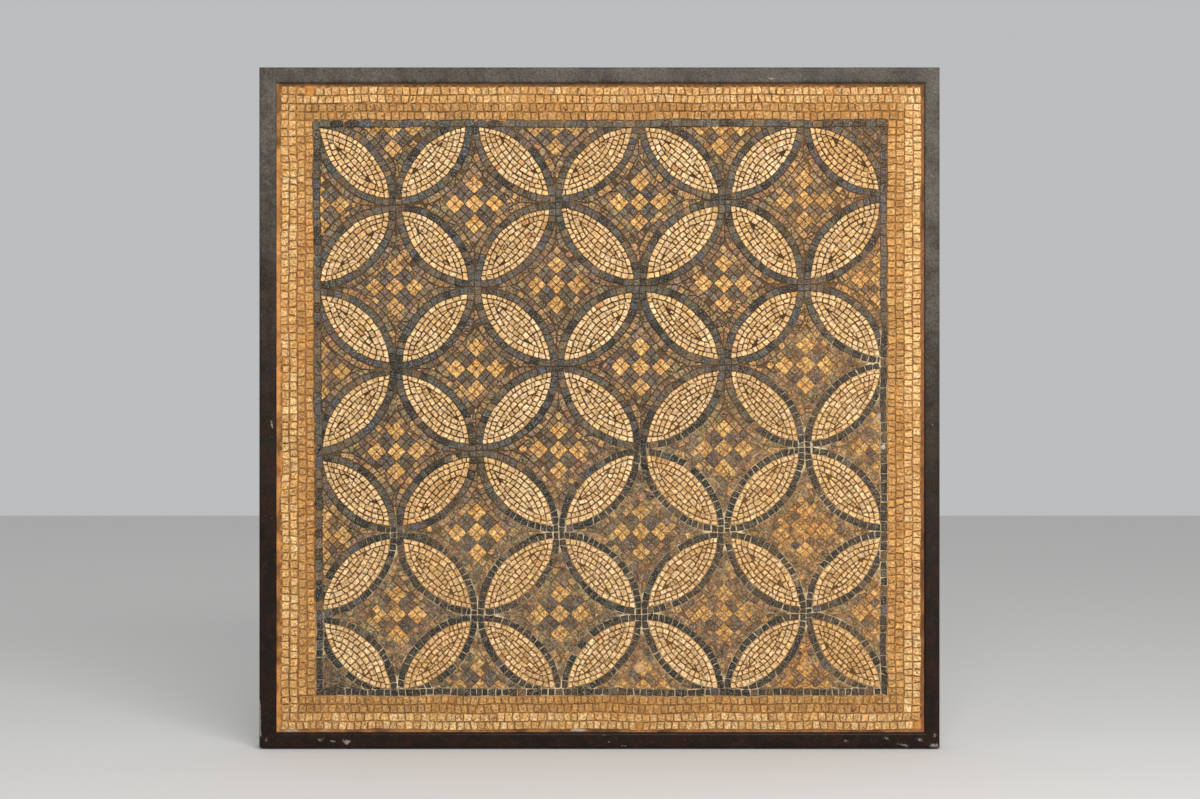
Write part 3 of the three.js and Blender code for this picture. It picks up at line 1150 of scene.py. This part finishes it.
rail = {
    "arris": 3.0,
    "around": 5,            # cuts across each rail
    "along": 300,
    "lip": {"top": 0.6, "right": 0.0, "bottom": 0.0, "left": 2.6},   # how far each laps over the mortar
    "wave": 0.25,
    "paint": sRgb(26, 18, 14),
    "brown": sRgb(44, 24, 16),
    # the grey of dust, also used as painted sheen towards the top and right of the frame
    "dustAndSheen": sRgb(100, 95, 86),
    "bare": sRgb(150, 142, 132),
    # worn places: from and to in x and z, width, how bare, how far raised
    "marks": (
        (-449.5, -384, -448, -436, 1.2, 0.7, 0.2), (-448, -434, -440, -441, 1.2, 0.6, 0.2),
        (-372, -438, -366, -442, 2.0, 0.55, 0.3), (-340, -437, -331, -446, 1.4, 0.8, 0.3),
        (-332, -438, -340, -446, 1.4, 0.7, 0.3), (-352, -441, -347, -444, 1.8, 0.5, 0.2),
        (322, -439, 330, -444, 1.8, 0.5, 0.3), (3, -432, 17, -445, 1.0, 0.45, 0.0),
        (30, -447, 36, -447, 1.4, 0.5, 0.2), (375, -436, 379, -437, 1.8, 0.55, 0.4),
        (398, -445, 407, -447, 2.2, 0.5, 0.5),
        (420, -437, 427, -441, 2.4, 0.6, 0.6), (436, -446, 446, -447, 3.0, 0.6, 0.7),
        (441, -430, 446, -436, 2.0, 0.5, 0.5), (-243, 434, -241, 445, 1.0, 0.6, 0.0),
        (228, 434, 230, 437, 1.6, 0.8, 0.2), (-433.5, -22, -432, -19, 1.0, 0.8, 0.2),
        (438, -24, 442, -18, 1.2, 0.45, 0.1), (444, 410, 445, 424, 1.2, 0.4, -0.3),
    ),
}


def makePaint():
    # satin paint over steel, greyed above by dust and painted sheen, worn to bare metal in places
    group, given, out = startGroup("framePaint", {"Wear": 0.5})
    place = objectPlace(group)
    worn = readAttribute(group, "worn").outputs["Fac"]
    dustAndSheenShare = readAttribute(group, "dustAndSheenShare").outputs["Fac"]
    cloud = grain(group, place, 26.0, 6.0, 0.65)
    streaks = grain(group, place, 60.0, 4.0, 0.6)
    fine = grain(group, place, 420.0, 3.0, 0.7)
    colour = blend(group, remap(group, streaks, 0.42, 0.66), rail["paint"], rail["brown"])
    # painted sheen: the grey is mixed in more towards the top and right, standing in for a lamp's gleam as
    # well as dust
    dustAndSheen = calc(group, "MULTIPLY", remap(group, cloud, 0.36, 0.6, 0.45, 1.15), dustAndSheenShare)
    dustAndSheen = calc(group, "MULTIPLY", dustAndSheen, remap(group, fine, 0.36, 0.62, 0.5, 1.45), clamp=True)
    colour = blend(group, dustAndSheen, colour, rail["dustAndSheen"])
    specks = remap(group, fine, 0.6, 0.72)
    colour = blend(group, calc(group, "MULTIPLY", specks, 0.35), colour, rail["dustAndSheen"])
    edge = calc(group, "ADD", worn, remap(group, fine, 0.3, 0.7, -0.3, 0.3))
    chips = remap(group, edge, 0.38, 0.56)
    colour = blend(group, calc(group, "MULTIPLY", chips, given["Wear"]), colour, rail["bare"])
    feed(group, out["Color"], colour)
    rough = remap(group, cloud, 0.3, 0.7, 0.3, 0.46)
    rough = calc(group, "ADD", rough, calc(group, "MULTIPLY", dustAndSheen, 0.25))
    feed(group, out["Roughness"], calc(group, "ADD", rough, calc(group, "MULTIPLY", chips, 0.3)))
    feed(group, out["Height"], calc(group, "ADD", calc(group, "MULTIPLY", fine, 0.5), streaks))
    return newMaterial("wornPaint", group, {"Wear": 0.8}, 0.0005, 0.14)


def nearMark(point, mark):
    # how strongly a mark wears a place
    start, end = Vector(mark[0:2]), Vector(mark[2:4])
    way = end - start
    share = max(0.0, min(1.0, (point - start).dot(way) / way.dot(way)))
    away = (point - start.lerp(end, share)).length
    return smooth(1.5 - away / mark[4])


def makeRail(side, material):
    low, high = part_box(f"frame_{side}")
    level = side in ("top", "bottom")
    outward = 1 if side in ("top", "right") else -1
    outer = cadBox[1].x
    breadth = (high - low)[2 if level else 0] + rail["lip"][side] * mm
    middle = outward * (outer - breadth / 2)
    size = Vector((2 * outer, high.y - low.y, breadth) if level else (breadth, high.y - low.y, 2 * outer))
    place = Vector((0, (low.y + high.y) / 2, middle) if level else (middle, (low.y + high.y) / 2, 0))
    bpy.ops.object.select_all(action="DESELECT")
    bpy.ops.mesh.primitive_cube_add(size=1, location=place, scale=size)
    piece = bpy.context.object
    piece.name = piece.data.name = f"rail_{side}"
    bpy.ops.object.transform_apply(location=True, rotation=True, scale=True)
    axis = 0 if level else 2
    cross = 2 - axis

    def wayOf(edge):
        a, b = (piece.data.vertices[index].co for index in edge.vertices)
        return b - a

    def runsAlong(edge):
        return abs(wayOf(edge)[axis]) > 0.5 * wayOf(edge).length

    pickParts(piece, "EDGE", runsAlong)
    bpy.ops.mesh.bevel(offset=rail["arris"] * mm, segments=4, affect="EDGES")
    pickParts(piece, "EDGE", lambda edge: abs(wayOf(edge)[cross]) > 0.5 * breadth)
    bpy.ops.mesh.subdivide(number_cuts=rail["around"])
    pickParts(piece, "EDGE", runsAlong)
    bpy.ops.mesh.subdivide(number_cuts=rail["along"])
    for end in (1, -1):
        # each mitre runs from the frame's outer corner to where two neighbours' inner edges meet
        neighbour = ("right" if end > 0 else "left") if level else ("top" if end > 0 else "bottom")
        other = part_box(f"frame_{neighbour}")
        otherBreadth = (other[1] - other[0])[axis] + rail["lip"][neighbour] * mm
        corner = Vector((0, 0, 0))
        corner[axis] = end * outer
        corner[cross] = outward * outer
        way = Vector((0, 0, 0))
        way[axis] = -end * otherBreadth
        way[cross] = -outward * breadth
        normal = way.cross(Vector((0, 1, 0))).normalized()
        if normal[axis] * end < 0:
            normal = -normal
        bpy.ops.mesh.select_all(action="SELECT")
        bpy.ops.mesh.bisect(plane_co=corner, plane_no=normal, use_fill=True, clear_outer=True)
    bpy.ops.object.mode_set(mode="OBJECT")
    worn, dustAndSheenShare = [], []
    for vertex in piece.data.vertices:
        point = Vector((vertex.co.x, vertex.co.z)) / mm
        front = vertex.co.y < low.y + rail["arris"] * 1.2 * mm
        rise = rail["wave"] * (0.6 * drift(point, 70, 1.0) + 0.4 * drift(point, 16, 2.0) - 0.7)
        mostWorn = 0.0
        for mark in rail["marks"]:
            share = nearMark(point, mark) if front else 0
            mostWorn = max(mostWorn, share * mark[5])
            rise += share * mark[6]
        if front:
            vertex.co.y -= rise * mm
        worn.append(mostWorn)
        # painted sheen: the share of grey grows towards the top and the right, where a lamp above would
        # gleam on the paint, as well as for dust
        reach = point.y + 0.2 * point.x
        share = (0.56 if level else 0.66) * smooth((reach + 90) / 470) + 0.07 * smooth((reach + 300) / 250)
        dustAndSheenShare.append(share if front else 0.1)
    giveLevels(piece.data, "worn", worn)
    giveLevels(piece.data, "dustAndSheenShare", dustAndSheenShare)
    pickOnly(piece)
    bpy.ops.object.shade_smooth_by_angle(angle=math.radians(40))
    finishPiece(piece, material, [f"frame_{side}"])


paint = makePaint()
for side in ("top", "right", "bottom", "left"):
    makeRail(side, paint)
print("frame made")


stage = {
    "distance": 3.0,
    "fieldWidth": 1.586,
    "aim": (0.0007, 0.0106),
    "floorDrop": 0.002,
    "floorSide": 12,
    "floorTone": (0.72, 0.71, 0.69, 1),
    "skyTone": (0.92, 0.93, 0.95, 1),
    "sky": 0.55,
    "keyPlace": (0.55, -2.6, 1.5),
    "keyAim": (0, 0, 0.1),
    "keySize": (1.8, 0.7),
    "keyPower": 75,
}


def makeStage():
    bpy.ops.object.select_all(action="DESELECT")
    level = cadBox[0].z - stage["floorDrop"]
    bpy.ops.mesh.primitive_plane_add(size=stage["floorSide"], location=(0, 0, level))
    floor = bpy.context.object
    floor.name = "floor"
    material = bpy.data.materials.new("paleFloor")
    material.use_nodes = True
    surface = material.node_tree.nodes["Principled BSDF"]
    surface.inputs["Base Color"].default_value = stage["floorTone"]
    surface.inputs["Roughness"].default_value = 0.8
    floor.data.materials.append(material)


def makeLight():
    world = bpy.data.worlds.new("studio")
    scene.world = world
    world.use_nodes = True
    sky = world.node_tree.nodes["Background"]
    sky.inputs["Color"].default_value = stage["skyTone"]
    sky.inputs["Strength"].default_value = stage["sky"]
    lamp = bpy.data.lights.new("key", "AREA")
    lamp.shape = "RECTANGLE"
    lamp.size, lamp.size_y = stage["keySize"]
    lamp.energy = stage["keyPower"]
    key = bpy.data.objects.new("key", lamp)
    key.location = stage["keyPlace"]
    key.rotation_euler = (Vector(stage["keyAim"]) - key.location).to_track_quat("-Z", "Y").to_euler()
    scene.collection.objects.link(key)


def makeCamera():
    lens = bpy.data.cameras.new("camera")
    lens.sensor_width = 36
    lens.lens = 36 * stage["distance"] / stage["fieldWidth"]
    camera = bpy.data.objects.new("camera", lens)
    x, z = stage["aim"]
    camera.location = (x, cadBox[0].y - stage["distance"], z)
    camera.rotation_euler = (math.pi / 2, 0, 0)
    scene.collection.objects.link(camera)
    scene.camera = camera


makeStage()
makeLight()
makeCamera()
scene.view_settings.view_transform = "Standard"

print("scene ready")
